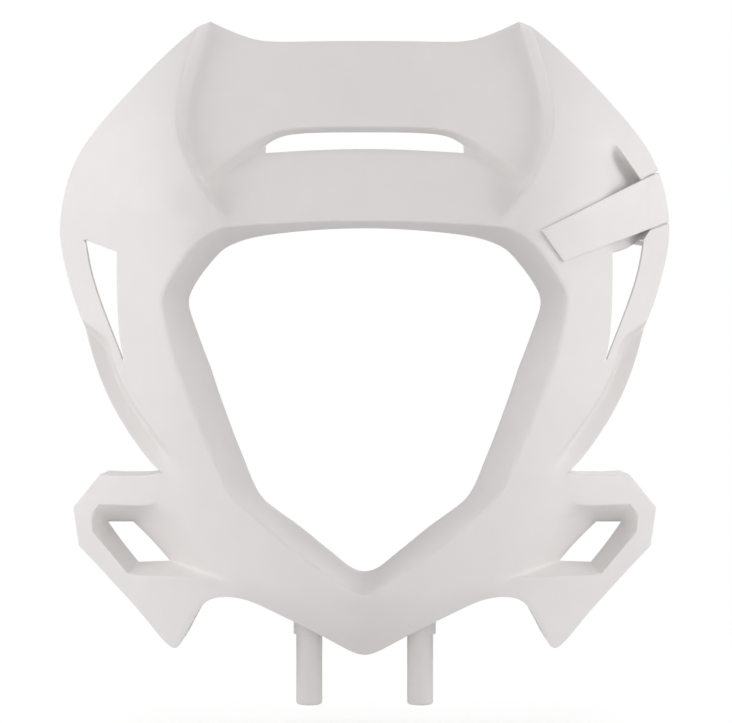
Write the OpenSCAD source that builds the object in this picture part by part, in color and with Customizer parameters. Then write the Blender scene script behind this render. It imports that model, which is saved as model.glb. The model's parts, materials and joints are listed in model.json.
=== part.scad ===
// Headlight mask for an off-road motorcycle, moulded in one piece, with its clip-on hose guide.
// X runs right as seen from the front, -Y is the front and Z is up.
// The origin is the middle of the two mounting pegs, level with the shoulders that end their roots.

/* [Shield] */
// Width over the wings, in mm
mask_width = 292; // [240:1:340]
// Height from chin tip to wing peaks, in mm
mask_height = 291; // [240:1:340]
// Wall thickness of the moulding
wall = 2.6; // [2:0.1:3.6]
// How far the foremost part of the shield stands ahead of the pegs
prow = 42; // [30:1:55]
// How far the wing edges sweep back from the prow
sweep = 75; // [50:1:95]
// How much the shield leans back for each mm of height
lean = 0.12; // [0:0.01:0.25]
// How much more it leans back above the brow line
upper_lean = 0.2; // [0:0.01:0.4]
// How much more again the peaks lean back
peak_lean = 0.3; // [0:0.01:0.5]
// Width of the flat middle of the shield at its widest, measured on one side
flat_half = 75; // [55:1:95]

/* [Edges] */
// Depth of the turned-back edge along the top and wings
wing_return = 18; // [8:1:30]
// Depth of the turned-back edge round the ears and chin
ear_return = 50; // [30:1:60]
// Depth of the headlight opening's rear edge behind the pegs' plane, at the height of the pegs
bezel_back = -6; // [-15:1:10]
// How much the headlight opening leans back for each mm of height
bezel_lean = 0.10; // [0:0.01:0.2]

/* [Upper panel] */
// Curve of the recessed upper panel, in mm of depth for each mm of half width squared
panel_bow = 0.0015; // [0.0005:0.0001:0.003]
// How far the bar under the slot is set back
bar_set_back = 9; // [4:0.5:14]

/* [Ears and sides] */
// Depth of the scoop that leads into each ear opening
scoop_depth = 19; // [10:1:26]
// Depth of the recessed band along the lower edge of each side
band_depth = 12; // [6:0.5:15]
// How far the brow line stands proud on each wing
brow_rise = 3; // [1:0.5:6]

/* [Mounting pegs] */
// Diameter of each peg
peg_d = 12; // [8:0.5:16]
// Distance between the peg centres
peg_spacing = 51; // [40:1:64]
// How far the pegs reach below their shoulders
peg_reach = 32.5; // [20:0.5:45]
// Radius of the rounded peg ends
peg_end_r = 1.5; // [0.5:0.5:3]
// How far the shoulder at the root of each peg stands out round it
shoulder_step = 1.2; // [0.8:0.1:2]
// Height of the drawing's zero line above the shoulders
chin_lift = 6.5; // [6:0.5:12]

/* [Hose guide] */
// Thickness of the guide strip
guide_thick = 1.8; // [1.5:0.1:3]
// How far the guide's hook reaches in behind the wing's rear edge
hook_reach = 4; // [3:0.5:6]
// Depth of the hose channel under the guide
channel_depth = 10; // [6:0.5:14]
// Gap between the guide and the wing that it lies on
seat_gap = 0.2; // [0.05:0.01:0.3]

/* [Hidden] */
$fn = 48;

// Size at which the outline points below were drawn
drawn_width = 292;
drawn_height = 291;
across = mask_width / drawn_width;
upright = mask_height / drawn_height;

// The points were drawn as the eye sees the mask from the front, from this far away and this high
eye_range = 1200;
eye_height = 118;
chin_top = 9;
half_width = 147;
// The brow line is level over the headlight and climbs across the wings
brow_low = 182;
brow_start = 84;
brow_climb = 0.46;
peak_low = 224;

// Stations run round the headlight opening, from the top middle to the chin tip.
// The rows of a station run from the opening's rear rim to the outer edge: rim, bezel crease,
// then the face and the outer edge. A third value sets a point back from the shield's own curve.
top = [
    [[0, 180], [0, 183], [0, 188, 2], [0, 216.5, bar_set_back], [0, 224, bar_set_back],
        [0, 226.5], [0, 245.5], [0, 266]],
    [[18, 179.5], [19, 183], [20, 188, 2], [20.5, 216, bar_set_back], [21.5, 224, bar_set_back],
        [21.5, 226.5], [21.5, 245.5], [20, 266]],
    [[35.5, 178], [37, 182], [38, 187.5, 2], [38, 215, bar_set_back], [38.5, 223, bar_set_back],
        [40, 225.5], [41.5, 245.5], [39, 265.5]],
    [[47.5, 176.5], [49.5, 181.5], [50.5, 187, 3], [45.5, 214.5, bar_set_back + 1],
        [45.5, 218, bar_set_back + 1], [48.5, 221.5], [53.5, 244.5], [50, 266]],
    [[56, 174.5], [57.5, 181], [59, 186.5, 3], [58.5, 206, bar_set_back + 2], [59.5, 208.5, bar_set_back + 2],
        [62, 212.5], [70.5, 239], [63, 271]],
    [[60.5, 172.5], [62, 180.5], [65, 185.5, 4], [71.5, 196, bar_set_back + 3], [73, 198.5, bar_set_back + 3],
        [75.5, 203], [86, 229], [71, 275]],
];
wing = [
    [[63, 171.5], [65, 180.5], [68, 186], [75, 197.5], [76.5, 200], [78.5, 203.5],
        [91.5, 229.5], [77, 272.5]],
    [[66.5, 169], [70.5, 177.5], [75, 181, -brow_rise / 2], [82, 189], [86, 196], [90.5, 206],
        [104, 230.5], [90.5, 261.5]],
    [[70.5, 164.5], [76, 174], [82, 177.5, -1], [90, 184, -brow_rise / 2], [97, 190.5, -brow_rise],
        [106, 198], [119, 214.5], [115, 236]],
    [[76, 157.5], [83, 166], [92.5, 171.5], [103.5, 177.5], [113.5, 184], [121.5, 193, -brow_rise / 2],
        [127.5, 200.5, -brow_rise / 2], [134, 213.5]],
    [[79, 152.5], [89.5, 156], [99.5, 163], [114, 169], [128.5, 174.5], [133, 178], [137, 182.5], [140, 189]],
    [[81, 148], [93, 149.5], [103.5, 155.5], [114, 160], [127.5, 165], [132, 167.5],
        [136, 170.5], [140.5, 174.5]],
    [[81, 143], [93, 143], [104, 147.5], [114, 150], [124.5, 153.5], [129, 155.5],
        [133, 158], [137.5, 160.5]],
    [[77, 132.5], [90.5, 132], [102.5, 135.5], [113.5, 137.5], [119.5, 139.5], [124.5, 142], [129, 144.5],
        [133.5, 146.5]],
    [[72.5, 120], [87.5, 120], [100, 124], [112.5, 126], [114.5, 127.5], [118.5, 130], [124.5, 133.5],
        [130, 137.5]],
];
side = [
    [[70.5, 115.5], [86, 115.5], [99.5, 119.5], [110.5, 119], [111.5, 119], [117, 124.5],
        [119, 127, band_depth], [128.5, 134.5, band_depth / 3]],
    [[68.5, 108.5], [83, 108.5], [96.5, 111], [108, 112.5], [110.5, 114], [114.5, 115],
        [116.5, 116, band_depth], [125, 120, band_depth / 3]],
    [[63.5, 94.5], [78, 94.5], [89.5, 97], [100.5, 100], [104.5, 101.5], [108.5, 102.5],
        [110.5, 102.5, band_depth - 1], [118.5, 102.5, band_depth / 3]],
    [[58.5, 81], [72, 81], [82, 83.5], [90.5, 85.5], [94, 86.5], [97.5, 87],
        [99.5, 87, band_depth - 4], [109, 86, band_depth / 6]],
    [[54.5, 71.5], [68.5, 71.5], [75.5, 72.5], [81, 73.5], [84.5, 74], [88, 75],
        [90.5, 74.5, band_depth / 3], [99, 72.5, 1]],
];
ear = [
    [[52.5, 66], [66, 65.5], [71.5, 65], [76, 65], [79.5, 65], [83, 65.5], [87.5, 66.5], [93.5, 67.5],
        [100.5, 66], [109, 66], [116.5, 66], [122, 66.5]],
    [[50, 60.5], [63.5, 60], [68.5, 57.5], [73, 56], [77.5, 54.5], [82, 53], [87.5, 52], [95, 52],
        [107, 52.5], [122, 53], [126, 48.5], [134, 51.5]],
    [[47.5, 56.5], [60.5, 56], [65.5, 52.5], [70.5, 50.5], [75, 48.5], [79.5, 47], [84, 46.5], [93, 47, 4],
        [106.5, 45, scoop_depth], [118, 45, scoop_depth - 4], [125, 40], [131.5, 34]],
    [[44.5, 53.5], [57, 52], [61.5, 48], [65.5, 45], [70.5, 41.5], [74.5, 39.5], [78.5, 38.5], [85, 38, 4],
        [97.5, 36.5, scoop_depth], [111, 35, scoop_depth - 4], [117, 30.5], [122.5, 24.5]],
    [[41, 51], [53, 49], [56, 44], [59, 39.5], [62.5, 34.5], [65, 30.5], [68, 26.5], [74.5, 22.5, 2],
        [89.5, 27, scoop_depth], [104, 26.5, scoop_depth - 4], [109, 21], [111.5, 12.5]],
    [[37, 48], [48.5, 45], [51, 39.5], [53.5, 34], [55, 29], [57, 24.5], [59, 21], [61.5, 18],
        [82, 19.5], [95, 20], [103, 20], [100.5, 0.5]],
    [[32.5, 45], [43.5, 40], [45, 34], [47, 28], [48.5, 22], [50.5, 17], [53, 13.5, 1], [57.5, 10.5, 2],
        [72, 10.5, 1], [77, 3.5, 1], [83.5, -9, 1], [87.5, -17, 1]],
];
chin = [
    [[25.5, 39.5], [36, 33.5], [36.5, 28], [38, 22], [39.5, 17], [41.5, 12.5], [44, 9, 2], [47, 6, 4]],
    [[19, 34], [27, 27], [27.5, 22], [28.5, 16.5], [29.5, 11.5], [30.5, 7.5], [32.5, 3.5, 2], [35, 0, 5]],
    [[12.5, 29], [17.5, 20.5], [18, 15.5], [18.5, 10.5], [19, 6], [20, 1.5], [21, -2.5, 2], [22.5, -6, 5]],
    [[6.5, 23.5], [7.5, 13.5], [8, 8.5], [8, 4], [8.5, -0.5], [9, -4.5], [9.5, -8, 2], [10, -13, 5]],
    [[0, 21.5], [0, 9.5], [0, 5], [0, 0.5], [0, -4], [0, -8], [0, -12, 2], [0, -18, 5]],
];
half_stations = concat(top, wing, side, ear, chin);

// Places of the named stations and rows
slot_end = 3;
panel_end = len(top);
vent_start = len(top) + 4;
vent_end = vent_start + 5;
ear_start = len(top) + len(wing) + len(side);
ear_top = ear_start + 1;
hole_top = ear_start + 2;
hole_low = ear_start + 4;
ear_low = ear_start + 5;
ear_end = ear_start + len(ear) - 1;
last_station = len(half_stations) - 1;
crease_row = 1;
bar_row = 2;
cut_row = 3;
lip_row = 5;
edge_row = 7;
inner_row = 8;
outer_row = 9;
front_row = 10;
ear_row = 11;
row_count = ear_row + 1;
ring = 2 * last_station;

// What fills each cell between two stations and two rows
OUTSIDE = 0;
SHEET = 1;
HOLE = 2;

function clamp01(t) = min(max(t, 0), 1);
function smooth01(t) = let(c = clamp01(t)) c * c * (3 - 2 * c);
function unit(v) = v / max(norm(v), 1e-9);
function total(list, i = 0) = i >= len(list) - 1 ? list[i] : list[i] + total(list, i + 1);

// Depth rules of the three base surfaces, for a point of the drawing
function brow_at(x) = brow_low + brow_climb * max(0, abs(x) - brow_start);
function lean_at(x, z) =
    lean * (z - chin_top) + upper_lean * max(0, z - brow_at(x)) + peak_lean * max(0, z - peak_low);
function flat_at(z) = flat_half * pow(clamp01((z - chin_top) / 187), 0.8);
function shield_y(x, z) =
    let(flat = flat_at(z), side_share = max(0, abs(x) - flat) / (half_width - flat),
        tuck = 0.55 * max(0, chin_top - z) * max(0, 1 - abs(x) / 70))
    -prow + sweep * pow(side_share, 1.7) + lean_at(x, z) + tuck;
function panel_y(x, z) = -prow + lean_at(x, z) + panel_bow * x * x;
function bezel_y(z) = bezel_back + bezel_lean * z;

// Point of the drawing at its real place, on the line of sight from the eye
function in_space(x, z, y) =
    let(reach = 1 + y / eye_range)
    [x * reach * across, y, (eye_height + (z - eye_height) * reach) * upright];

function drawn_point(i, j) =
    let(p = half_stations[i][min(j, len(half_stations[i]) - 1)],
        y = j == 0 ? bezel_y(p.y)
            : i < panel_end && j >= lip_row ? panel_y(p.x, p.y)
            : shield_y(p.x, p.y) + (p[2] == undef ? 0 : p[2]))
    in_space(p.x, p.y, y);

function mirrored(p) = [-p.x, p.y, p.z];

// Control cage: a ring of stations that goes once round the headlight opening
cage = [for (i = [0 : ring - 1]) [for (j = [0 : row_count - 1])
    i <= last_station ? drawn_point(i, j) : mirrored(drawn_point(ring - i, j))]];
function half_cell(i, j) =
    j == cut_row && i < slot_end ? HOLE
    : j == cut_row && i >= vent_start && i < vent_end ? HOLE
    : j < edge_row ? SHEET
    : i < ear_start || i >= ear_end ? OUTSIDE
    : j == inner_row && i >= hole_top && i < hole_low ? HOLE
    : SHEET;
cage_cells = [for (i = [0 : ring - 1]) [for (j = [0 : row_count - 2])
    half_cell(i < last_station ? i : ring - 1 - i, j)]];

// Neighbours of a grid point, round the ring and with the rows held inside the grid
function at(grid, i, j) = grid[(i + len(grid)) % len(grid)][min(max(j, 0), len(grid[0]) - 1)];
function solid(cells, i, j) =
    j >= 0 && j < len(cells[0]) && cells[(i + len(cells)) % len(cells)][j] == SHEET;
// True where the line from a point to the next station, or to the next row, is an open edge
function open_along(cells, i, j) = solid(cells, i, j - 1) != solid(cells, i, j);
function open_across(cells, i, j) = solid(cells, i - 1, j) != solid(cells, i, j);

// Half of the ring that a station, or the step from one station to the next, belongs to
function half_station(i) = let(k = (i + ring) % ring) k <= last_station ? k : ring - k;
function half_step(i) = let(k = (i + ring) % ring) k < last_station ? k : ring - 1 - k;

// Lines that stay crisp in the moulding, and two that are only half as sharp
function hard_along(h, j) =
    j == crease_row
    || (j == lip_row && (h < panel_end - 1 || (h >= vent_end - 1 && h < ear_start - 1)))
    || (j == lip_row - 1 && h >= slot_end && h < panel_end - 1)
    || (j == front_row && h >= ear_top && h < ear_low);
function soft_along(h, j) = j == lip_row + 1 && h >= vent_end && h < ear_start - 1;
function hard_across(h, j) =
    ((h == panel_end - 1 || h == panel_end) && j >= bar_row && j < edge_row)
    || (h == vent_end - 1 && j >= lip_row && j < edge_row)
    || ((h == ear_top || h == ear_low) && j >= edge_row && j < front_row)
    || (h == hole_low && j == outer_row);
function soft_across(h, j) = (h == hole_low && j == edge_row) || (h == vent_end && j == lip_row + 1);
// Corners that aren't rounded at all
corners = [[hole_top, inner_row], [hole_top, outer_row], [hole_low, inner_row], [hole_low, outer_row],
    [ear_start, edge_row], [ear_start, ear_row], [ear_top, ear_row], [hole_top, ear_row],
    [vent_start, cut_row], [vent_start, cut_row + 1], [vent_end, cut_row], [vent_end, cut_row + 1],
    [slot_end, cut_row], [ear_top, outer_row], [ear_top, front_row], [hole_top, front_row],
    [hole_low, front_row]];
function is_corner(h, j) = len([for (c = corners) if (c == [h, j]) c]) > 0;

// The same for a grid that has been refined once or not at all: fine is 1 or 0
function held_along(cells, i, j, fine) =
    open_along(cells, i, j)
    || (fine == 0 ? hard_along(half_step(i), j) || soft_along(half_step(i), j)
        : j % 2 == 0 && hard_along(half_step(floor(i / 2)), j / 2));
function held_across(cells, i, j, fine) =
    open_across(cells, i, j)
    || (fine == 0 ? hard_across(half_station(i), j) || soft_across(half_station(i), j)
        : i % 2 == 0 && hard_across(half_station(i / 2), floor(j / 2)));
function held_point(i, j, fine) =
    fine == 0 ? is_corner(half_station(i), j)
    : i % 2 == 0 && j % 2 == 0 && is_corner(half_station(i / 2), j / 2);

// Neighbours along the open or crisp edges that meet in a point
function edge_mates(grid, cells, i, j, fine) = concat(
    held_along(cells, i, j, fine) ? [at(grid, i + 1, j)] : [],
    held_along(cells, i - 1, j, fine) ? [at(grid, i - 1, j)] : [],
    held_across(cells, i, j, fine) ? [at(grid, i, j + 1)] : [],
    held_across(cells, i, j - 1, fine) ? [at(grid, i, j - 1)] : []);

// Weighted point of a cubic surface: the weights are for the point, its 4 mates and its 4 corners
function blended(grid, cells, i, j, fine, own, near, far, own_edge) =
    let(p = at(grid, i, j), mates = edge_mates(grid, cells, i, j, fine))
    held_point(i, j, fine) || len(mates) > 2 ? p
    : len(mates) == 2 ? own_edge * p + (1 - own_edge) / 2 * (mates[0] + mates[1])
    : own * p
        + near * (at(grid, i + 1, j) + at(grid, i - 1, j) + at(grid, i, j + 1) + at(grid, i, j - 1))
        + far * (at(grid, i + 1, j + 1) + at(grid, i - 1, j + 1) + at(grid, i + 1, j - 1)
            + at(grid, i - 1, j - 1));

// New points halfway along the lines of the grid, and in the middle of each cell
function halfway(a, b, beside) = 6 / 16 * (a + b) + 1 / 16 * total(beside);
function along_point(grid, cells, i, j) =
    held_along(cells, i, j, 0) ? (at(grid, i, j) + at(grid, i + 1, j)) / 2
    : halfway(at(grid, i, j), at(grid, i + 1, j),
        [at(grid, i, j - 1), at(grid, i + 1, j - 1), at(grid, i, j + 1), at(grid, i + 1, j + 1)]);
function across_point(grid, cells, i, j) =
    held_across(cells, i, j, 0) ? (at(grid, i, j) + at(grid, i, j + 1)) / 2
    : halfway(at(grid, i, j), at(grid, i, j + 1),
        [at(grid, i - 1, j), at(grid, i - 1, j + 1), at(grid, i + 1, j), at(grid, i + 1, j + 1)]);
function middle_point(grid, i, j) =
    (at(grid, i, j) + at(grid, i + 1, j) + at(grid, i, j + 1) + at(grid, i + 1, j + 1)) / 4;

// The grid with twice the stations and rows, rounded between them
function refined(grid, cells) =
    [for (i = [0 : 2 * len(grid) - 1]) [for (j = [0 : 2 * len(grid[0]) - 2])
        let(a = floor(i / 2), b = floor(j / 2))
        i % 2 == 0 && j % 2 == 0 ? blended(grid, cells, a, b, 0, 36 / 64, 6 / 64, 1 / 64, 6 / 8)
        : j % 2 == 0 ? along_point(grid, cells, a, b)
        : i % 2 == 0 ? across_point(grid, cells, a, b)
        : middle_point(grid, a, b)]];
function refined_cells(cells) =
    [for (i = [0 : 2 * len(cells) - 1]) [for (j = [0 : 2 * len(cells[0]) - 1])
        cells[floor(i / 2)][floor(j / 2)]]];
function settled(grid, cells) =
    [for (i = [0 : len(grid) - 1]) [for (j = [0 : len(grid[0]) - 1])
        blended(grid, cells, i, j, 1, 16 / 36, 4 / 36, 1 / 36, 4 / 6)]];

// The edge of the wing at the viewer's right is let in where the guide goes round it
seat_low = 180;
seat_high = 211;
seat_inner = 130;
seat_blend = 6;
function let_in(p) =
    let(x = p.x / across, z = p.z / upright,
        share = smooth01((x - seat_inner) / seat_blend)
            * smooth01((z - seat_low) / seat_blend + 1) * smooth01((seat_high - z) / seat_blend + 1))
    [p.x - share * (guide_thick + seat_gap), p.y, p.z];

// The hose channel beside it deepens from the wing's middle out to its crisp outer side
channel_inner = 108;
channel_low = 168;
channel_side = [[168, 126], [172, 128.5], [182, 135.5], [203, 130.5], [222, 116]];
channel_high = 222;
channel_wall = 7;
function channel_at(x, z) =
    let(outer = lookup(z, channel_side))
    channel_depth * smooth01((x - channel_inner) / (outer - channel_wall - channel_inner))
        * smooth01((z - channel_low) / 8) * smooth01((channel_high - z) / 12)
        * (1 - clamp01((x - outer + channel_wall) / channel_wall));
function channelled(p) =
    p.x < 90 ? p : [p.x, p.y + channel_at(p.x / across, p.z / upright), p.z];

cells = refined_cells(cage_cells);
smooth_grid = [for (column = settled(refined(cage, cage_cells), cells)) [for (p = column) let_in(p)]];
face = [for (column = smooth_grid) [for (p = column) channelled(p)]];
columns = len(face);
rows = len(face[0]);

// Outer edge of the half, as pairs of column and row, and then all the way round
function steps(a, b) = a < b ? [for (k = [a : b - 1]) k] : [for (k = [a : -1 : b + 1]) k];
half_edge = concat(
    [for (i = steps(0, 2 * ear_start)) [i, 2 * edge_row]],
    [for (j = steps(2 * edge_row, 2 * ear_row)) [2 * ear_start, j]],
    [for (i = steps(2 * ear_start, 2 * ear_end)) [i, 2 * ear_row]],
    [for (j = steps(2 * ear_row, 2 * edge_row)) [2 * ear_end, j]],
    [for (i = steps(2 * ear_end, 2 * last_station)) [i, 2 * edge_row]]);
tip = [2 * last_station, 2 * edge_row];
outer_edge = concat(half_edge, [tip],
    [for (k = [len(half_edge) - 1 : -1 : 1]) [columns - half_edge[k][0], half_edge[k][1]]]);
edge_count = len(outer_edge);

// Outward directions of the sheet, of its turned-back edge and of both together
function cell_normal(i, j) =
    unit(cross(at(face, i + 1, j + 1) - at(face, i, j), at(face, i, j + 1) - at(face, i + 1, j)));
function sheet_normal(i, j) =
    let(found = [for (a = [i - 1, i]) for (b = [j - 1, j]) if (solid(cells, a, b)) cell_normal(a, b)])
    len(found) == 0 ? [0, -1, 0] : unit(total(found));
function edge_point(k) = let(e = outer_edge[(k + edge_count) % edge_count]) face[e[0]][e[1]];
function edge_normal(k) =
    let(run = edge_point(k + 1) - edge_point(k - 1)) unit([-run.z, 0, run.x]);
function mitre(a, b) = (a + b) / max(1 + a * b, 0.6);
function return_at(z) = ear_return + (wing_return - ear_return) * smooth01((z - 70) / 90);

// Points of the solid: the face, its inside, and the rear line of the turned-back edge twice
edge_slots = [for (e = outer_edge) e[0] * rows + e[1]];
inside = [for (i = [0 : columns - 1]) for (j = [0 : rows - 1])
    let(k = search(i * rows + j, edge_slots))
    len(k) == 0 ? face[i][j] - wall * sheet_normal(i, j)
    : face[i][j] - wall * mitre(sheet_normal(i, j), edge_normal(k[0]))];
rear = [for (e = outer_edge) let(p = smooth_grid[e[0]][e[1]]) p + [0, return_at(p.z), 0]];
rear_inside = [for (k = [0 : edge_count - 1]) rear[k] - wall * edge_normal(k)];
flat_face = [for (column = face) for (p = column) p];
inner = len(flat_face);
back = 2 * inner;
back_inner = back + edge_count;

function quad(a, b, c, d) = [[a, b, c], [a, c, d]];
function slot_of(i, j) = ((i + columns) % columns) * rows + j;
sheet_faces = [for (i = [0 : columns - 1]) for (j = [0 : rows - 2]) if (cells[i][j] == SHEET)
    let(a = slot_of(i, j), b = slot_of(i + 1, j), c = slot_of(i + 1, j + 1), d = slot_of(i, j + 1))
    each concat(quad(d, c, b, a), quad(inner + a, inner + b, inner + c, inner + d))];
// Cut faces round the headlight opening, the slot, the vents and the ear openings
function is_outer(i, j) = j >= len(cells[0]) || (j >= 0 && cells[(i + columns) % columns][j] == OUTSIDE);
function rim_quad(a, b) = quad(a, b, inner + b, inner + a);
function is_cut(i, j) = !solid(cells, i, j) && !is_outer(i, j);
rim_faces = [for (i = [0 : columns - 1]) for (j = [0 : rows - 2]) if (cells[i][j] == SHEET)
    each concat(
        is_cut(i, j - 1) ? rim_quad(slot_of(i, j), slot_of(i + 1, j)) : [],
        is_cut(i, j + 1) ? rim_quad(slot_of(i + 1, j + 1), slot_of(i, j + 1)) : [],
        is_cut(i - 1, j) ? rim_quad(slot_of(i, j + 1), slot_of(i, j)) : [],
        is_cut(i + 1, j) ? rim_quad(slot_of(i + 1, j), slot_of(i + 1, j + 1)) : [])];
return_faces = [for (k = [0 : edge_count - 1])
    let(n = (k + 1) % edge_count, a = edge_slots[k], b = edge_slots[n])
    each concat(quad(b, a, back + k, back + n), quad(back + n, back + k, back_inner + k, back_inner + n),
        quad(back_inner + n, back_inner + k, inner + a, inner + b))];

// Height of the wing's face over a place in the front view, without the hose channel
function within(p, a, b, c) =
    let(d = (b.x - a.x) * (c.z - a.z) - (c.x - a.x) * (b.z - a.z),
        u = ((p.x - a.x) * (c.z - a.z) - (c.x - a.x) * (p.y - a.z)) / d,
        v = ((b.x - a.x) * (p.y - a.z) - (p.x - a.x) * (b.z - a.z)) / d)
    u > -1e-6 && v > -1e-6 && u + v < 1 + 1e-6 ? a.y + u * (b.y - a.y) + v * (c.y - a.y) : undef;
wing_patches = [for (i = [2 * panel_end : 2 * vent_end]) for (j = [2 * crease_row : 2 * edge_row - 1])
    let(c = columns - i, a = at(smooth_grid, i, j), b = at(smooth_grid, i + 1, j),
        e = at(smooth_grid, i + 1, j + 1), f = at(smooth_grid, i, j + 1))
    each [[a, b, e], [a, e, f]]];
function wing_y(x, z) =
    let(found = [for (t = wing_patches) let(y = within([x, z], t[0], t[1], t[2])) if (y != undef) y])
    len(found) > 0 ? min(found) : undef;
function wing_normal(x, z) =
    let(y = wing_y(x, z), s = 0.5, dx = (y - wing_y(x - s, z)) / s, dz = (y - wing_y(x - s, z + s)) / s)
    unit([dx, -1, dz - dx]);
wing_edge = [for (i = [2 * panel_end : 2 * vent_end]) smooth_grid[i][2 * edge_row]];
function edge_at(z) =
    [for (k = [0 : len(wing_edge) - 2]) let(a = wing_edge[k], b = wing_edge[k + 1])
        if (a.z >= z && b.z < z) a + (b - a) * (a.z - z) / (a.z - b.z)][0];

// The guide is a strip over the wing that goes round its edge and hooks in behind it
guide_steps = 20;
guide_bands = 6;
guide_inner_top = [79.5 * across, 178 * upright];
guide_inner_low = [90 * across, 164 * upright];
guide_outer_top = (seat_high - 3) * upright;
guide_outer_low = (seat_low + 5) * upright;
guide_tip = 0.6 * guide_thick;
function guide_line(v, lift) =
    let(start = guide_inner_top + v * (guide_inner_low - guide_inner_top),
        e = edge_at(guide_outer_top + v * (guide_outer_low - guide_outer_top)),
        out = [1, 0, 0], behind = return_at(e.z) + seat_gap + lift * guide_thick)
    concat(
        [for (k = [0 : guide_steps - 1])
            let(t = k / guide_steps, x = start.x + t * (e.x - start.x), z = start.y + t * (e.z - start.y),
                thick = guide_tip + (guide_thick - guide_tip) * smooth01(3 * t))
            [x, wing_y(x, z), z] + wing_normal(x, z) * (seat_gap + lift * thick)],
        [e + mitre(wing_normal(e.x - 1, e.z), out) * (seat_gap + lift * guide_thick),
            e + out * (seat_gap + lift * guide_thick) + [0, behind, 0],
            e - out * hook_reach + [0, behind, 0]]);

module shell() {
    translate([0, 0, chin_lift])
        polyhedron(points = concat(flat_face, inside, rear, rear_inside),
            faces = concat(sheet_faces, rim_faces, return_faces));
}

// One mounting peg below its shoulder, with its root inside the chin and the rib that ties the root in
rib_top = chin_lift + 12;
rib_low = chin_lift + 3;
root_r = peg_d / 2 + shoulder_step;
module peg(side) {
    translate([side * peg_spacing / 2, 0, 0]) {
        rotate_extrude()
            polygon(concat(
                [[0, rib_top], [0, -peg_reach]],
                [for (a = [0 : 15 : 90]) [peg_d / 2 - peg_end_r, -peg_reach + peg_end_r]
                    + peg_end_r * [sin(a), -cos(a)]],
                [[peg_d / 2, 0], [root_r, 0], [root_r, rib_top]]));
        translate([-wall / 2, shield_y(peg_spacing / 2, rib_low - chin_lift) + 3 * wall / 2, rib_low])
            cube([wall, prow, rib_top - rib_low]);
    }
}

module mask() {
    color("white")
        union() {
            shell();
            peg(-1);
            peg(1);
        }
}

module hose_guide() {
    lines = [for (v = [0 : guide_bands]) concat(guide_line(v / guide_bands, 0),
        [for (p = [guide_line(v / guide_bands, 1)]) each [for (k = [len(p) - 1 : -1 : 0]) p[k]]])];
    n = len(lines[0]);
    half = n / 2;
    color("whitesmoke")
        translate([0, 0, chin_lift])
            polyhedron(
                points = [for (line = lines) each line],
                faces = concat(
                    [for (b = [0 : guide_bands - 1]) for (k = [0 : n - 1])
                        let(a = b * n + k, c = b * n + (k + 1) % n)
                        each quad(a, a + n, c + n, c)],
                    [for (k = [0 : half - 2]) each quad(k, k + 1, n - 2 - k, n - 1 - k)],
                    [for (k = [0 : half - 2]) let(z = guide_bands * n)
                        each quad(z + k, z + n - 1 - k, z + n - 2 - k, z + k + 1)]));
}

mask();
hose_guide();
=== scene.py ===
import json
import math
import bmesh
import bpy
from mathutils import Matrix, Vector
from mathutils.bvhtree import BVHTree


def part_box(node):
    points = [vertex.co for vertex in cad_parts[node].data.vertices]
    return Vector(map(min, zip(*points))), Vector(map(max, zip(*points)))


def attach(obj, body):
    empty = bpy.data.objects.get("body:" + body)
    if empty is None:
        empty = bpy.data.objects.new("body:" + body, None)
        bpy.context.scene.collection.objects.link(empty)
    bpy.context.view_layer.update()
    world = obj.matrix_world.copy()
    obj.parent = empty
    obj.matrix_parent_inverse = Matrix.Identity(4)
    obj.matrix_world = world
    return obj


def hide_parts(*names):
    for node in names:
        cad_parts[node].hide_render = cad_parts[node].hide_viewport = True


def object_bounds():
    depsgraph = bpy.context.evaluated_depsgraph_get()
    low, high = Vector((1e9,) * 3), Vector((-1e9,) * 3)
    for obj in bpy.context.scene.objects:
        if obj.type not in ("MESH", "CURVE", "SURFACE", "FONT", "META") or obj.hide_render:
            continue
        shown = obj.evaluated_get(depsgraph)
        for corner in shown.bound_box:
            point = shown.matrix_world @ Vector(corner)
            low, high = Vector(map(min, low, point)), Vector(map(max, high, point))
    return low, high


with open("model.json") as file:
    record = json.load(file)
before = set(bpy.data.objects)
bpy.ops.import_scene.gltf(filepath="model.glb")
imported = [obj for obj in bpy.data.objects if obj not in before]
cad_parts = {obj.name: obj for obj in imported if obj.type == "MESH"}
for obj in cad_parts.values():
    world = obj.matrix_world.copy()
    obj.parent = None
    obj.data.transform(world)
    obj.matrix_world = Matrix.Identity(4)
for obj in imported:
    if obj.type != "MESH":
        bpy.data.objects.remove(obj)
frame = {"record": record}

# %% [markdown]
# # A moulded headlight mask
# This lesson dresses a motorcycle headlight mask that already exists as an exact solid.
# We draw the same form again as a control cage, let Blender's subdivision surface round it,
# give it a wall with Solidify, and finish it in matte moulded plastic. Sculpting could make the
# form too, but a cage keeps every outline point where it was drawn.
# The frame is in metres: X runs right as seen from the front, -Y is the front and Z is up.

MM = 0.001
cad_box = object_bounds()
mounts = {mount["name"]: mount for mount in frame["record"]["mounts"]}
peg_radius = mounts["pegs"]["dims"]["stud_r_mm"] * MM
peg_spacing = mounts["pegs"]["dims"]["pcd_mm"] * MM
peg_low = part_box("mask")[0][2]
print("the solid model spans", [[round(value, 4) for value in corner] for corner in cad_box])

# %% [markdown]
# ## Driving sizes
# Every size is named once, in millimetres, and the same names stand in the solid model.
# The depth of the shield is a rule and not a list: it is flat in the middle and sweeps back
# towards the wings, so each outline point needs only its place in the front view.

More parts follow.
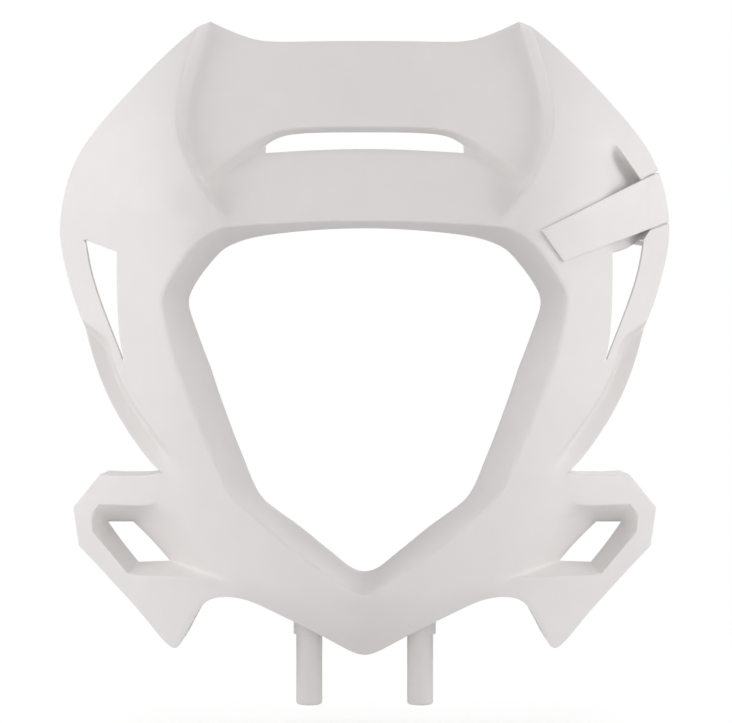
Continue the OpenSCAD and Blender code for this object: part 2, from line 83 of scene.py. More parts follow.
# %% Name the driving sizes
wall = 2.6
prow = 42
sweep = 75
lean = 0.12
flat_half = 75
half_width = 147
wing_return = 18
ear_return = 50
bezel_back = -6
bezel_lean = 0.10
panel_bow = 0.0015
bar = 9
scoop = 19
band = 12
brow = 3
eye_range = 1200
eye_height = 118
chin_top = 9
chin_lift = 6.5
shoulder_step = 1.2
brow_low = 182
brow_start = 84
brow_climb = 0.46
upper_lean = 0.2
peak_low = 224
peak_lean = 0.3
flat_rise = 187
flat_power = 0.8
sweep_power = 1.7
tuck_rate = 0.55
tuck_half = 70
return_low = 70
return_span = 90
print("the shield stands", prow, "mm ahead of the pegs and its wings sweep back", sweep, "mm")

# %% [markdown]
# ## The control cage
# Stations run round the headlight opening, from the top middle down to the chin tip.
# Each station lists its points from the opening's rear rim outwards: rim, bezel crease, face, edge.
# A point is (across, up), and a third value sets it back from the shield's own curve.

# %% Draw the stations of one half
top = [
    [(0, 180), (0, 183), (0, 188, 2), (0, 216.5, bar), (0, 224, bar), (0, 226.5), (0, 245.5), (0, 266)],
    [(18, 179.5), (19, 183), (20, 188, 2), (20.5, 216, bar), (21.5, 224, bar),
     (21.5, 226.5), (21.5, 245.5), (20, 266)],
    [(35.5, 178), (37, 182), (38, 187.5, 2), (38, 215, bar), (38.5, 223, bar),
     (40, 225.5), (41.5, 245.5), (39, 265.5)],
    [(47.5, 176.5), (49.5, 181.5), (50.5, 187, 3), (45.5, 214.5, bar + 1), (45.5, 218, bar + 1),
     (48.5, 221.5), (53.5, 244.5), (50, 266)],
    [(56, 174.5), (57.5, 181), (59, 186.5, 3), (58.5, 206, bar + 2), (59.5, 208.5, bar + 2),
     (62, 212.5), (70.5, 239), (63, 271)],
    [(60.5, 172.5), (62, 180.5), (65, 185.5, 4), (71.5, 196, bar + 3), (73, 198.5, bar + 3),
     (75.5, 203), (86, 229), (71, 275)],
]
wing = [
    [(63, 171.5), (65, 180.5), (68, 186), (75, 197.5), (76.5, 200), (78.5, 203.5),
     (91.5, 229.5), (77, 272.5)],
    [(66.5, 169), (70.5, 177.5), (75, 181, -brow / 2), (82, 189), (86, 196), (90.5, 206),
     (104, 230.5), (90.5, 261.5)],
    [(70.5, 164.5), (76, 174), (82, 177.5, -1), (90, 184, -brow / 2), (97, 190.5, -brow), (106, 198),
     (119, 214.5), (115, 236)],
    [(76, 157.5), (83, 166), (92.5, 171.5), (103.5, 177.5), (113.5, 184), (121.5, 193, -brow / 2),
     (127.5, 200.5, -brow / 2), (134, 213.5)],
    [(79, 152.5), (89.5, 156), (99.5, 163), (114, 169), (128.5, 174.5), (133, 178),
     (137, 182.5), (140, 189)],
    [(81, 148), (93, 149.5), (103.5, 155.5), (114, 160), (127.5, 165), (132, 167.5),
     (136, 170.5), (140.5, 174.5)],
    [(81, 143), (93, 143), (104, 147.5), (114, 150), (124.5, 153.5), (129, 155.5), (133, 158),
     (137.5, 160.5)],
    [(77, 132.5), (90.5, 132), (102.5, 135.5), (113.5, 137.5), (119.5, 139.5), (124.5, 142), (129, 144.5),
     (133.5, 146.5)],
    [(72.5, 120), (87.5, 120), (100, 124), (112.5, 126), (114.5, 127.5), (118.5, 130), (124.5, 133.5),
     (130, 137.5)],
]
side = [
    [(70.5, 115.5), (86, 115.5), (99.5, 119.5), (110.5, 119), (111.5, 119), (117, 124.5),
     (119, 127, band), (128.5, 134.5, band / 3)],
    [(68.5, 108.5), (83, 108.5), (96.5, 111), (108, 112.5), (110.5, 114), (114.5, 115),
     (116.5, 116, band), (125, 120, band / 3)],
    [(63.5, 94.5), (78, 94.5), (89.5, 97), (100.5, 100), (104.5, 101.5), (108.5, 102.5),
     (110.5, 102.5, band - 1), (118.5, 102.5, band / 3)],
    [(58.5, 81), (72, 81), (82, 83.5), (90.5, 85.5), (94, 86.5), (97.5, 87),
     (99.5, 87, band - 4), (109, 86, band / 6)],
    [(54.5, 71.5), (68.5, 71.5), (75.5, 72.5), (81, 73.5), (84.5, 74), (88, 75),
     (90.5, 74.5, band / 3), (99, 72.5, 1)],
]
ear = [
    [(52.5, 66), (66, 65.5), (71.5, 65), (76, 65), (79.5, 65), (83, 65.5), (87.5, 66.5), (93.5, 67.5),
     (100.5, 66), (109, 66), (116.5, 66), (122, 66.5)],
    [(50, 60.5), (63.5, 60), (68.5, 57.5), (73, 56), (77.5, 54.5), (82, 53), (87.5, 52), (95, 52),
     (107, 52.5), (122, 53), (126, 48.5), (134, 51.5)],
    [(47.5, 56.5), (60.5, 56), (65.5, 52.5), (70.5, 50.5), (75, 48.5), (79.5, 47), (84, 46.5), (93, 47, 4),
     (106.5, 45, scoop), (118, 45, scoop - 4), (125, 40), (131.5, 34)],
    [(44.5, 53.5), (57, 52), (61.5, 48), (65.5, 45), (70.5, 41.5), (74.5, 39.5), (78.5, 38.5), (85, 38, 4),
     (97.5, 36.5, scoop), (111, 35, scoop - 4), (117, 30.5), (122.5, 24.5)],
    [(41, 51), (53, 49), (56, 44), (59, 39.5), (62.5, 34.5), (65, 30.5), (68, 26.5), (74.5, 22.5, 2),
     (89.5, 27, scoop), (104, 26.5, scoop - 4), (109, 21), (111.5, 12.5)],
    [(37, 48), (48.5, 45), (51, 39.5), (53.5, 34), (55, 29), (57, 24.5), (59, 21), (61.5, 18),
     (82, 19.5), (95, 20), (103, 20), (100.5, 0.5)],
    [(32.5, 45), (43.5, 40), (45, 34), (47, 28), (48.5, 22), (50.5, 17), (53, 13.5, 1), (57.5, 10.5, 2),
     (72, 10.5, 1), (77, 3.5, 1), (83.5, -9, 1), (87.5, -17, 1)],
]
chin = [
    [(25.5, 39.5), (36, 33.5), (36.5, 28), (38, 22), (39.5, 17), (41.5, 12.5), (44, 9, 2), (47, 6, 4)],
    [(19, 34), (27, 27), (27.5, 22), (28.5, 16.5), (29.5, 11.5), (30.5, 7.5), (32.5, 3.5, 2), (35, 0, 5)],
    [(12.5, 29), (17.5, 20.5), (18, 15.5), (18.5, 10.5), (19, 6), (20, 1.5), (21, -2.5, 2), (22.5, -6, 5)],
    [(6.5, 23.5), (7.5, 13.5), (8, 8.5), (8, 4), (8.5, -0.5), (9, -4.5), (9.5, -8, 2), (10, -13, 5)],
    [(0, 21.5), (0, 9.5), (0, 5), (0, 0.5), (0, -4), (0, -8), (0, -12, 2), (0, -18, 5)],
]
stations = top + wing + side + ear + chin
slot_end = 3
panel_end = len(top)
vent_start = panel_end + 4
vent_end = vent_start + 5
ear_start = len(top + wing + side)
ear_end = ear_start + len(ear) - 1
last = len(stations) - 1
crease_row, bar_row, cut_row, lip_row, edge_row, ear_row = 1, 2, 3, 5, 7, 11
print(len(stations), "stations for one half, with up to", ear_row + 1, "points each")

# %% [markdown]
# ## Depth rules
# Three base surfaces give each point its depth: the shield, the recessed upper panel and the
# rear plane of the bezel. `in_space` then puts the point on its line of sight from the eye.

# %% Turn drawing points into points in space
def brow_at(across):
    return brow_low + brow_climb * max(0, abs(across) - brow_start)

def lean_at(across, up):
    return (lean * (up - chin_top) + upper_lean * max(0, up - brow_at(across))
            + peak_lean * max(0, up - peak_low))

def shield_depth(across, up):
    flat = flat_half * min(max((up - chin_top) / flat_rise, 0), 1) ** flat_power
    side_share = max(0, abs(across) - flat) / (half_width - flat)
    tuck = tuck_rate * max(0, chin_top - up) * max(0, 1 - abs(across) / tuck_half)
    return -prow + sweep * side_share ** sweep_power + lean_at(across, up) + tuck

def panel_depth(across, up):
    return -prow + lean_at(across, up) + panel_bow * across ** 2

def bezel_depth(up):
    return bezel_back + bezel_lean * up

def in_space(across, up, depth):
    reach = 1 + depth / eye_range
    return Vector((across * reach, depth, eye_height + (up - eye_height) * reach)) * MM

def cage_point(station, row):
    across, up, *set_back = stations[station][row]
    if row == 0:
        depth = bezel_depth(up)
    elif station < panel_end and row >= lip_row:
        depth = panel_depth(across, up)
    else:
        depth = shield_depth(across, up) + sum(set_back)
    return in_space(across, up, depth)

def smooth_step(value):
    value = min(max(value, 0), 1)
    return value * value * (3 - 2 * value)

def return_depth(up):
    return ear_return + (wing_return - ear_return) * smooth_step((up - return_low) / return_span)

print("the prow is at", round(cage_point(last, 3).y, 4), "m")

# %% [markdown]
# ## Building the cage mesh
# The real shell is one moulding. Joining panels would leave seams, so one mesh is built of all of
# it. The cage is a ring of cells. Cells over the slot, the vents and the ear openings are left out,
# and a strip behind the outer edge becomes the turned-back edge.
# Edge creases tell the subdivision where the moulding has a crisp line, and pinned points keep
# the corners of the vents and the ears, with the turned-back corners behind them.

# %% Build the cage
def is_sheet(station, row):
    if row == cut_row and (station < slot_end or vent_start <= station < vent_end):
        return False
    if row < edge_row:
        return True
    if not ear_start <= station < ear_end:
        return False
    return not (row == edge_row + 1 and ear_start + 2 <= station < ear_start + 4)

def outer_path():
    path = [(station, edge_row) for station in range(ear_start)]
    path += [(ear_start, row) for row in range(edge_row, ear_row)]
    path += [(station, ear_row) for station in range(ear_start, ear_end)]
    path += [(ear_end, row) for row in range(ear_row, edge_row, -1)]
    path += [(station, edge_row) for station in range(ear_end, last + 1)]
    return path

def build_cage():
    mesh = bmesh.new()
    behind = mesh.verts.layers.float.new("behind")
    mesh.verts.layers.float.new("crease_vert")
    mesh.edges.layers.float.new("crease_edge")
    made = {}

    def vertex(half, station, row, rear=False):
        half = 0 if station in (0, last) else half
        key = (half, station, row, rear)
        if key not in made:
            place = cage_point(station, row)
            place.x *= half
            if rear:
                place.y += return_depth(place.z / MM) * MM
            made[key] = mesh.verts.new(place)
            made[key][behind] = 1.0 if rear else 0.0
        return made[key]

    def face(half, corners):
        mesh.faces.new(corners if half > 0 else corners[::-1])

    path = outer_path()
    for half in (-1, 1):
        for station in range(last):
            for row in range(ear_row):
                if is_sheet(station, row):
                    face(half, [vertex(half, station, row), vertex(half, station + 1, row),
                                vertex(half, station + 1, row + 1), vertex(half, station, row + 1)][::-1])
        for (a, b), (c, d) in zip(path, path[1:]):
            face(half, [vertex(half, a, b), vertex(half, c, d),
                        vertex(half, c, d, True), vertex(half, a, b, True)][::-1])
    return mesh, made

def crease_line(mesh, made, points, sharpness, layer):
    for half in (-1, 1):
        chain = [made.get((0 if station in (0, last) else half, station, row, False))
                 for station, row in points]
        for first, second in zip(chain, chain[1:]):
            edge = mesh.edges.get((first, second)) if first and second else None
            if edge:
                edge[layer] = sharpness

def pin_corners(mesh, made, points, vertex_layer, edge_layer):
    for half in (-1, 1):
        for station, row in points:
            front = made[half, station, row, False]
            front[vertex_layer] = 1.0
            rear = made.get((half, station, row, True))
            if rear:
                rear[vertex_layer] = 1.0
                mesh.edges.get((front, rear))[edge_layer] = 1.0

def along(row, first, final):
    return [(station, row) for station in range(first, final + 1)]

def across(station, first, final):
    return [(station, row) for row in range(first, final + 1)]

cage, cage_vertices = build_cage()
crease_layer = cage.edges.layers.float["crease_edge"]
pin_layer = cage.verts.layers.float["crease_vert"]
ear_top, hole_top, hole_low, ear_low = ear_start + 1, ear_start + 2, ear_start + 4, ear_start + 5
front_row, inner_row, outer_row = 10, 8, 9
hard_lines = [outer_path(), across(ear_top, edge_row, front_row), along(front_row, ear_top, ear_low),
              across(ear_low, edge_row, front_row), across(hole_low, outer_row, front_row)]
soft_lines = [(along(crease_row, 0, last), 0.6),
              (across(panel_end - 1, bar_row, edge_row), 0.7),
              (across(panel_end, bar_row, edge_row), 0.6),
              (along(lip_row, 0, panel_end - 1), 0.6),
              (along(lip_row - 1, slot_end, panel_end - 1), 0.7),
              (across(hole_low, edge_row, inner_row), 0.5),
              (across(vent_end - 1, lip_row, edge_row), 0.9),
              (along(lip_row, vent_end - 1, ear_start - 1), 0.9),
              (across(vent_end, lip_row + 1, edge_row), 0.5),
              (along(lip_row + 1, vent_end, ear_start - 1), 0.5)]
for line in hard_lines:
    crease_line(cage, cage_vertices, line, 1.0, crease_layer)
for line, sharpness in soft_lines:
    crease_line(cage, cage_vertices, line, sharpness, crease_layer)
pins = [(hole_top, inner_row), (hole_top, outer_row), (hole_low, inner_row), (hole_low, outer_row),
        (ear_start, edge_row), (ear_start, ear_row), (ear_top, ear_row), (hole_top, ear_row),
        (ear_top, outer_row),
        (vent_start, cut_row), (vent_start, cut_row + 1), (vent_end, cut_row), (vent_end, cut_row + 1),
        (slot_end, cut_row), (ear_top, front_row), (hole_top, front_row), (hole_low, front_row)]
pin_corners(cage, cage_vertices, pins, pin_layer, crease_layer)
bmesh.ops.recalc_face_normals(cage, faces=cage.faces)
print("the cage has", len(cage.verts), "points and", len(cage.faces), "cells")

# %% [markdown]
# ## Subdivide, carve, and give it a wall
# The subdivision is baked, so that the hose channel can be carved into the fine mesh.
# Solidify then adds the wall, and a small Bevel rounds its cut edges as a mould does.

# %% Make the moulded shell
def piece_from(mesh, name):
    data = bpy.data.meshes.new(name)
    mesh.normal_update()
    mesh.to_mesh(data)
    mesh.free()
    data.shade_smooth()
    piece = bpy.data.objects.new(name, data)
    bpy.context.scene.collection.objects.link(piece)
    return piece

def bake(piece):
    graph = bpy.context.evaluated_depsgraph_get()
    baked = bpy.data.meshes.new_from_object(piece.evaluated_get(graph))
    piece.modifiers.clear()
    piece.data = baked

mask_shell = piece_from(cage, "mask_shell")
rounding = mask_shell.modifiers.new("rounding", "SUBSURF")
rounding.levels = 3
rounding.render_levels = 3
rounding.boundary_smooth = "ALL"
bake(mask_shell)
front = min(polygon.center.y for polygon in mask_shell.data.polygons)
print("baked", len(mask_shell.data.polygons), "faces; the foremost is at", round(front, 4), "m")
if sum(polygon.normal.y for polygon in mask_shell.data.polygons) > 0:
    mask_shell.data.flip_normals()

# %% [markdown]
# ## The hose guide's seat
# The wing's edge is let in where the guide goes round it, so that the guide's end lies flush.
# Bisect first cuts the fine mesh across the edge, so that the seat's two ends come out crisp.

# %% Let the guide's end into the edge
guide_thick = 1.8 * MM
seat_gap = 0.2 * MM
seat_margin = 0.3
seat_end = 0.6
seat_inner = 131
seat_blend = 5
edge_band = (130, 150)
guide_top = [(79.5, 178), (138.6, 208)]
guide_foot = [(90, 164), (144.6, 185)]

def height_on(line, across):
    (x_first, z_first), (x_second, z_second) = line
    return z_first + (z_second - z_first) * (across - x_first) / (x_second - x_first)

def cut_along(mesh, first, second):
    run = (second - first).normalized()
    length = (second - first).length
    near = []
    for face in mesh.faces:
        offset = Vector((face.calc_center_median().x, face.calc_center_median().z)) - first
        beside = abs(offset.x * run.y - offset.y * run.x)
        if -2 * MM < offset.dot(run) < length + 2 * MM and beside < 5 * MM:
            near.append(face)
    parts = near + list({edge for face in near for edge in face.edges})
    parts += list({vertex for face in near for vertex in face.verts})
    bmesh.ops.bisect_plane(mesh, geom=parts, dist=0.02 * MM, plane_co=(first.x, 0, first.y),
                           plane_no=(run.y, 0, -run.x))

def let_in(place):
    across, up = place.x / MM, place.z / MM
    inside = min(height_on(guide_top, across) - up, up - height_on(guide_foot, across))
    window = min(max((inside + seat_margin + seat_end) / seat_end, 0), 1)
    return window * smooth_step((across - seat_inner) / seat_blend) * (guide_thick + seat_gap)

carved = bmesh.new()
carved.from_mesh(mask_shell.data)
for line, side_sign in ((guide_top, 1), (guide_foot, -1)):
    for offset in (side_sign * seat_margin, side_sign * (seat_margin + seat_end)):
        ends = [Vector((across, height_on(line, across) + offset)) * MM for across in edge_band]
        cut_along(carved, *ends)
for vertex in carved.verts:
    vertex.co.x -= let_in(vertex.co)
print("the seat lets the guide in by", round((guide_thick + seat_gap) / MM, 2), "mm")

# %% Keep the wing's face for the guide
wing_tree = BVHTree.FromBMesh(carved)

def wing_point(across, up):
    place, normal, _, _ = wing_tree.ray_cast(Vector((across, -0.5, up)), Vector((0, 1, 0)))
    if place and normal.y > 0:
        normal = -normal
    return place, normal

edge_margin = 0.3 * MM

def wing_edge(up):
    inside = 0.125
    outside = 0.160
    for _ in range(18):
        middle = (inside + outside) / 2
        if wing_point(middle, up)[0]:
            inside = middle
        else:
            outside = middle
    return wing_point(inside - edge_margin, up)[0] + Vector((edge_margin, 0, 0))

print("the wing's edge beside the guide is at", [round(value, 4) for value in wing_edge(0.193)])

# %% [markdown]
# ## The hose channel
# The channel deepens from the middle of the wing out to a crisp side wall beside the edge.
# The mesh is cut along the top and the foot of that wall, so that it stands up straight.

# %% Cut the lines of the channel's side wall
channel_depth = 10
channel_inner = 108
channel_low = 168
channel_high = 222
foot_fade = 8
top_fade = 12
channel_wall = 3
channel_side = [(126, 168), (128.5, 172), (135.5, 182), (130.5, 203), (116, 222)]

def channel_outer(up):
    for (x_low, z_low), (x_high, z_high) in zip(channel_side, channel_side[1:]):
        if up <= z_high:
            return x_low + (x_high - x_low) * max(up - z_low, 0) / (z_high - z_low)
    return channel_side[-1][0]

for inset in (0, channel_wall):
    line = [Vector((x - inset, z)) * MM for x, z in channel_side]
    for first, second in zip(line, line[1:]):
        cut_along(carved, first, second)
print("the shell has", len(carved.faces), "faces after the cuts")

# %% Press the channel in
def channel_at(across, up):
    outer = channel_outer(up)
    ends = smooth_step((up - channel_low) / foot_fade) * smooth_step((channel_high - up) / top_fade)
    ramp = smooth_step((across - channel_inner) / (outer - channel_wall - channel_inner))
    side_wall = min(max((outer - across) / channel_wall, 0), 1)
    return channel_depth * ends * ramp * side_wall

behind = carved.verts.layers.float["behind"]
for vertex in carved.verts:
    if vertex.co.x > channel_inner * MM:
        vertex.co.y += channel_at(vertex.co.x / MM, vertex.co.z / MM) * (1 - min(vertex[behind], 1)) * MM
carved.to_mesh(mask_shell.data)
carved.free()
mask_shell.data.shade_smooth()

walls = mask_shell.modifiers.new("walls", "SOLIDIFY")
walls.thickness = wall * MM
walls.offset = -1
walls.use_even_offset = True
walls.thickness_clamp = 1.0
edges = mask_shell.modifiers.new("edges", "BEVEL")
edges.width = 0.5 * MM
edges.segments = 2
edges.limit_method = "ANGLE"
edges.angle_limit = math.radians(40)
print("walls of", wall, "mm and edges rounded by", round(edges.width / MM, 2), "mm")

# %% [markdown]
# ## The mounting pegs
# The mask stands in two rubber sleeves on the fork clamp, and a peg goes into each. A cylinder
# would do, but a turned outline also gives the rounded foot and the thicker root in one piece.
# The shoulder under the root follows the solid model. The photograph shows straight pegs.

# %% Turn the pegs
def turned(outline, centre, sides=48):
    mesh = bmesh.new()
    rings = []
    for radius, up in outline:
        rings.append([mesh.verts.new((centre.x + radius * math.cos(2 * math.pi * k / sides),
                                      centre.y + radius * math.sin(2 * math.pi * k / sides),
                                      centre.z + up)) for k in range(sides)])
    for low, high in zip(rings, rings[1:]):
        for k in range(sides):
            mesh.faces.new([low[k], low[(k + 1) % sides], high[(k + 1) % sides], high[k]])
    mesh.faces.new(rings[0][::-1])
    mesh.faces.new(rings[-1])
    return mesh

rib_low = (chin_lift + 3) * MM
rib_top = (chin_lift + 12) * MM
rib_step = 0.5 * MM
root_radius = peg_radius + shoulder_step * MM

def peg_outline():
    round_end = 1.5 * MM
    steps = [math.radians(angle) for angle in range(0, 91, 15)]
    foot = [(peg_radius - round_end + round_end * math.sin(angle),
             peg_low + round_end * (1 - math.cos(angle))) for angle in steps]
    return foot + [(peg_radius, 0), (root_radius, 0), (root_radius, rib_top)]

def rib_box(mesh, centre_x, low, high, front, rear):
    corners = bmesh.ops.create_cube(mesh, size=1.0)["verts"]
    for corner in corners:
        corner.co.x = centre_x + corner.co.x * wall * MM
        corner.co.y = front if corner.co.y < 0 else rear
        corner.co.z = low if corner.co.z < 0 else high

pegs = []
for name, sign in (("peg_left", -1), ("peg_right", 1)):
    centre = Vector((sign * peg_spacing / 2, 0, 0))
    mesh = turned(peg_outline(), centre)
    front_wall = (shield_depth(peg_spacing / 2 / MM, 3) + 1.5 * wall) * MM
    rib_box(mesh, centre.x, rib_low, rib_top - rib_step, front_wall, 0)
    peg = piece_from(mesh, name)
    soften = peg.modifiers.new("soften", "BEVEL")
    soften.width = 0.3 * MM
    soften.segments = 2
    soften.limit_method = "ANGLE"
    soften.angle_limit = math.radians(40)
    pegs.append(peg)
print("pegs of", round(2 * peg_radius / MM, 1), "mm, reaching down to", round(peg_low, 4), "m")

# %% [markdown]
# ## The hose guide
# The brake hose runs under this strip, which clips over the wing's edge. A bent box would not
# follow the wing, so rows of rays find the wing's face, and two layers of points are laid on it:
# the underside a small gap above the face, and the top one thickness higher.

# %% Lay the guide over the wing
hook_reach = 4 * MM
inner_top = Vector(guide_top[0]) * MM
inner_low = Vector(guide_foot[0]) * MM
outer_top = guide_top[1][1] * MM
outer_low = guide_foot[1][1] * MM
guide_steps = 40
guide_bands = 14

def guide_line(share, lift):
    start = inner_top.lerp(inner_low, share)
    end = wing_edge(outer_top + (outer_low - outer_top) * share)
    line = []
    for k in range(guide_steps):
        t = k / guide_steps
        place, normal = wing_point(start.x + t * (end.x - start.x), start.y + t * (end.z - start.y))
        thick = guide_thick * (0.6 + 0.4 * smooth_step(3 * t))
        line.append(place + normal * (seat_gap + lift * thick))
    out = Vector((1, 0, 0))
    face_normal = wing_point(end.x - 1 * MM, end.z)[1]
    corner = (face_normal + out) / max(1 + face_normal.dot(out), 0.6)
    away = seat_gap + lift * guide_thick
    rear = Vector((0, return_depth(end.z / MM) * MM + away, 0))
    return line + [end + corner * away, end + out * away + rear * 0.5,
                   end + out * away + rear, end - out * hook_reach + rear]

def build_guide():
    mesh = bmesh.new()
    sides = []
    for lift in (0, 1):
        sides.append([[mesh.verts.new(point) for point in guide_line(k / guide_bands, lift)]
                      for k in range(guide_bands + 1)])
    under, over = sides
    count = len(under[0])
    for b in range(guide_bands):
        for k in range(count - 1):
            mesh.faces.new([over[b][k], over[b + 1][k], over[b + 1][k + 1], over[b][k + 1]])
            mesh.faces.new([under[b][k], under[b][k + 1], under[b + 1][k + 1], under[b + 1][k]])
        for k in (0, count - 1):
            mesh.faces.new([under[b][k], under[b + 1][k], over[b + 1][k], over[b][k]])
    for b in (0, guide_bands):
        for k in range(count - 1):
            mesh.faces.new([under[b][k], under[b][k + 1], over[b][k + 1], over[b][k]])
    bmesh.ops.recalc_face_normals(mesh, faces=mesh.faces)
    return mesh

guide = piece_from(build_guide(), "guide_strip")
trim = guide.modifiers.new("trim", "BEVEL")
trim.width = 0.35 * MM
trim.segments = 2
trim.limit_method = "ANGLE"
trim.angle_limit = math.radians(40)
print("the guide has", len(guide.data.polygons), "faces")

# %% [markdown]
# ## Stand the moulding on its pegs
# The outline was drawn from its own zero line. The model's origin is at the shoulders of the pegs,
# a little lower, so the finished meshes are moved up, and their objects stay at the origin.

# %% Lift the moulding to its place
for piece in (mask_shell, guide):
    piece.data.transform(Matrix.Translation((0, 0, chin_lift * MM)))
print("lifted by", chin_lift, "mm")

# %% [markdown]
# ## Shader maths as Python
# `Signal` wraps a node socket, so a formula in Python becomes a chain of Math nodes.
# A colour or vector formula uses Mix and Vector Math nodes through the same `node` method.

# %% Wrap sockets for shader maths
class Signal:
    def __init__(self, tree, socket):
        self.tree = tree
        self.socket = socket

    def node(self, kind, settings=None, output=0, **inputs):
        made = self.tree.nodes.new(kind)
        for key, value in (settings or {}).items():
            setattr(made, key, value)
        for key, value in inputs.items():
            spot = int(key[1:]) if key[0] == "i" and key[1:].isdigit() else key.replace("_", " ")
            if isinstance(value, Signal):
                self.tree.links.new(value.socket, made.inputs[spot])
            else:
                made.inputs[spot].default_value = value
        return Signal(self.tree, made.outputs[output])

    def math(self, operation, first, second=0.0):
        return self.node("ShaderNodeMath", {"operation": operation}, i0=first, i1=second)

    def __add__(self, other):
        return self.math("ADD", self, other)

    def __radd__(self, other):
        return self.math("ADD", other, self)

    def __sub__(self, other):
        return self.math("SUBTRACT", self, other)

    def __rsub__(self, other):
        return self.math("SUBTRACT", other, self)

    def __mul__(self, other):
        return self.math("MULTIPLY", self, other)

    def __rmul__(self, other):
        return self.math("MULTIPLY", other, self)

    def mix(self, first, second):
        return self.node("ShaderNodeMix", {"data_type": "RGBA"}, output=2, Factor=self, i6=first, i7=second)

print("shader maths ready")

# %% [markdown]
# ## Matte moulded plastic
# Moulded polypropylene is a warm white with a fine spark-eroded grain and a soft, broad gloss.
# A flat white would look like paper, so slow noise shifts the tone a little, as thick and thin
# walls do, and a fine one makes the grain through a Bump node.

# %% Make the plastics
def new_material(name):
    material = bpy.data.materials.new(name)
    material.use_nodes = True
    tree = material.node_tree
    shader = tree.nodes["Principled BSDF"]
    place = Signal(tree, tree.nodes.new("ShaderNodeTexCoord").outputs["Object"])
    return material, tree, shader, place

def connect(tree, signal, socket):
    tree.links.new(signal.socket, socket)

def moulded_plastic(name, light, dark, grain_size, grain_height):
    material, tree, shader, place = new_material(name)
    shader.inputs["IOR"].default_value = 1.49
    shader.inputs["Specular IOR Level"].default_value = 0.45
    slow = place.node("ShaderNodeTexNoise", Vector=place, Scale=14.0, Detail=3.0, Roughness=0.5)
    cloud = place.node("ShaderNodeTexNoise", Vector=place, Scale=90.0, Detail=2.0, Roughness=0.5)
    grain = place.node("ShaderNodeTexNoise", Vector=place, Scale=1 / grain_size, Detail=2.0, Roughness=0.6)
    tone = (0.7 * slow + 0.3 * cloud - 0.35) * 3.0
    connect(tree, tone.mix((*light, 1), (*dark, 1)), shader.inputs["Base Color"])
    connect(tree, 0.46 + 0.10 * slow + 0.06 * grain, shader.inputs["Roughness"])
    bump = place.node("ShaderNodeBump", Height=grain, Strength=0.25, Distance=grain_height)
    connect(tree, bump, shader.inputs["Normal"])
    return material

mask_plastic = moulded_plastic("white_plastic", (0.80, 0.772, 0.760), (0.77, 0.742, 0.730),
                               0.7 * MM, 0.05 * MM)
guide_plastic = moulded_plastic("guide_plastic", (0.82, 0.792, 0.783), (0.79, 0.762, 0.753),
                                0.5 * MM, 0.03 * MM)
dressed = [(mask_shell, mask_plastic, "white_plastic"), (pegs[0], mask_plastic, "white_plastic"),
           (pegs[1], mask_plastic, "white_plastic"), (guide, guide_plastic, "guide_plastic")]
for piece, material, slot in dressed:
    piece.data.materials.clear()
    piece.data.materials.append(material)
    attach(piece, "root")
    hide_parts("hose_guide" if piece is guide else "mask")
print("plastics:", mask_plastic.name, "and", guide_plastic.name)

# %% [markdown]
# ## Soft light
# White plastic shows its form only through soft differences of tone. A box stands at each side, a
# larger one in front, and weak ones above and behind, so that no side of the mask goes dark.

# %% Light the studio
def soft_box(name, place, target, size, watts):
    lamp = bpy.data.lights.new(name, "AREA")
    lamp.shape = "RECTANGLE"
    lamp.size, lamp.size_y = size
    lamp.energy = watts
    piece = bpy.data.objects.new(name, lamp)
    piece.location = place
    piece.rotation_euler = (Vector(target) - Vector(place)).to_track_quat("-Z", "Y").to_euler()
    bpy.context.scene.collection.objects.link(piece)
    return piece

middle = Vector((0, 0, (eye_height + chin_lift) * MM))
boxes = [("box_right", (1.30, -0.10, 0.30), (0.8, 1.2), 8.5),
         ("box_left", (-1.30, -0.10, 0.45), (0.8, 1.2), 8.0),
         ("box_front", (0, -2.2, 0.20), (1.6, 1.0), 14),
         ("box_top", (0, -0.7, 1.5), (1.4, 0.9), 3),
         ("box_rear", (0.5, 2.2, 0.6), (1.6, 1.0), 7)]
for name, place, size, watts in boxes:
    soft_box(name, place, middle, size, watts)
print(len(boxes), "soft boxes")

# %% [markdown]
# ## A white background that keeps its shadow
# A shop picture stands on white. More lamps would burn out the white plastic too, so the white is
# made for the rays that are looked along: camera, glossy and transmission rays see a white world.
# Near the object the floor is part lit and part glowing, so the shadow stays, and it fades to white.

# %% Make the sky and the floor
def seen_rays(tree):
    rays = tree.nodes.new("ShaderNodeLightPath")
    camera_ray = Signal(tree, rays.outputs["Is Camera Ray"])
    glossy_ray = Signal(tree, rays.outputs["Is Glossy Ray"])
    return camera_ray + glossy_ray + Signal(tree, rays.outputs["Is Transmission Ray"])

def shader_node(tree, kind, **values):
    return Signal(tree, None).node(kind, **values)

def mix_shaders(tree, share, first, second):
    return shader_node(tree, "ShaderNodeMixShader", i0=share, i1=first, i2=second)

world = bpy.data.worlds.new("studio")
world.use_nodes = True
bpy.context.scene.world = world
sky_tree = world.node_tree
sky_light = shader_node(sky_tree, "ShaderNodeBackground", Color=(1, 1, 1, 1), Strength=0.38)
sky_white = shader_node(sky_tree, "ShaderNodeBackground", Color=(1, 1, 1, 1), Strength=1.0)
connect(sky_tree, mix_shaders(sky_tree, seen_rays(sky_tree), sky_light, sky_white),
        sky_tree.nodes["World Output"].inputs["Surface"])

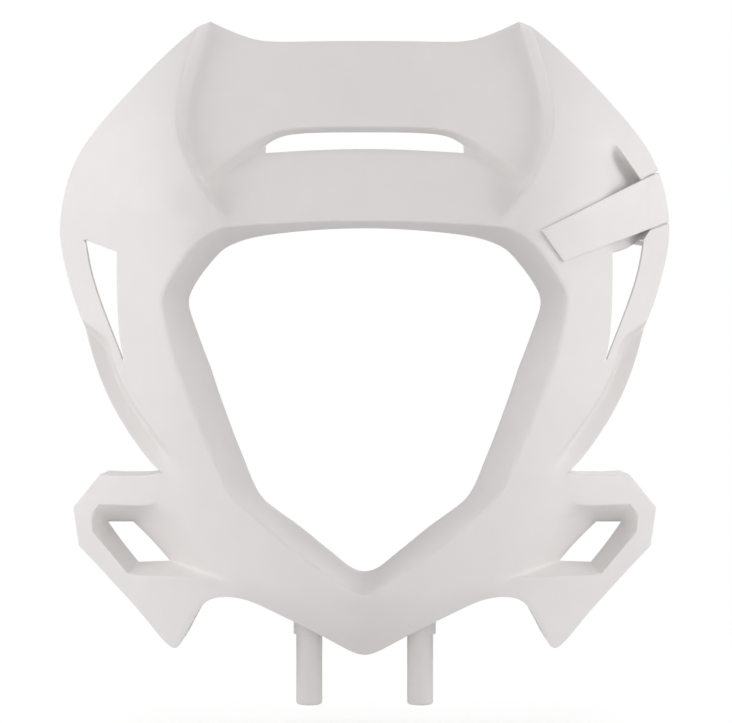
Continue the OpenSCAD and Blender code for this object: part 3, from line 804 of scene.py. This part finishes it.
floor_gap = 15 * MM
floor_height = cad_box[0][2] - floor_gap
floor_mesh = bmesh.new()
bmesh.ops.create_grid(floor_mesh, x_segments=1, y_segments=1, size=6)
floor = piece_from(floor_mesh, "floor")
floor.location.z = floor_height
floor_material = bpy.data.materials.new("floor_white")
floor_material.use_nodes = True
floor_tree = floor_material.node_tree
floor_tree.nodes.remove(floor_tree.nodes["Principled BSDF"])
matte = shader_node(floor_tree, "ShaderNodeBsdfDiffuse", Color=(0.8, 0.8, 0.8, 1))
glow = shader_node(floor_tree, "ShaderNodeEmission", Color=(1, 1, 1, 1), Strength=0.47)
near = shader_node(floor_tree, "ShaderNodeAddShader", i0=matte, i1=glow)
far = shader_node(floor_tree, "ShaderNodeEmission", Color=(1, 1, 1, 1), Strength=1.0)
spot = Signal(floor_tree, floor_tree.nodes.new("ShaderNodeTexCoord").outputs["Object"])
distance = spot.node("ShaderNodeVectorMath", {"operation": "LENGTH"}, output=1, i0=spot)
fade = spot.node("ShaderNodeMapRange", {"interpolation_type": "SMOOTHSTEP"}, Value=distance,
                 From_Min=0.2, From_Max=0.55)
seen_floor = mix_shaders(floor_tree, fade, near, far)
connect(floor_tree, mix_shaders(floor_tree, seen_rays(floor_tree), matte, seen_floor),
        floor_tree.nodes["Material Output"].inputs["Surface"])
floor.data.materials.append(floor_material)
print("floor at", round(floor_height, 3), "m")

# %% [markdown]
# ## The camera
# The photograph is taken straight from the front. Its distance is the same eye distance that the
# cage was drawn with, and the lens follows from it and from the size of one pixel on the mask.

# %% Place the camera
picture_width = 732
pixel = 0.46 * MM
camera_data = bpy.data.cameras.new("camera")
camera_data.sensor_width = 36
camera_data.lens = 36 * eye_range * MM / (picture_width * pixel)
camera = bpy.data.objects.new("camera", camera_data)
camera.location = (0.0006, -eye_range * MM, (118.6 + chin_lift) * MM)
camera.rotation_euler = (math.radians(90), 0, 0)
bpy.context.scene.collection.objects.link(camera)
bpy.context.scene.camera = camera
bpy.context.scene.view_settings.view_transform = "Standard"
print("lens", round(camera_data.lens, 1), "mm at", eye_range * MM, "m")
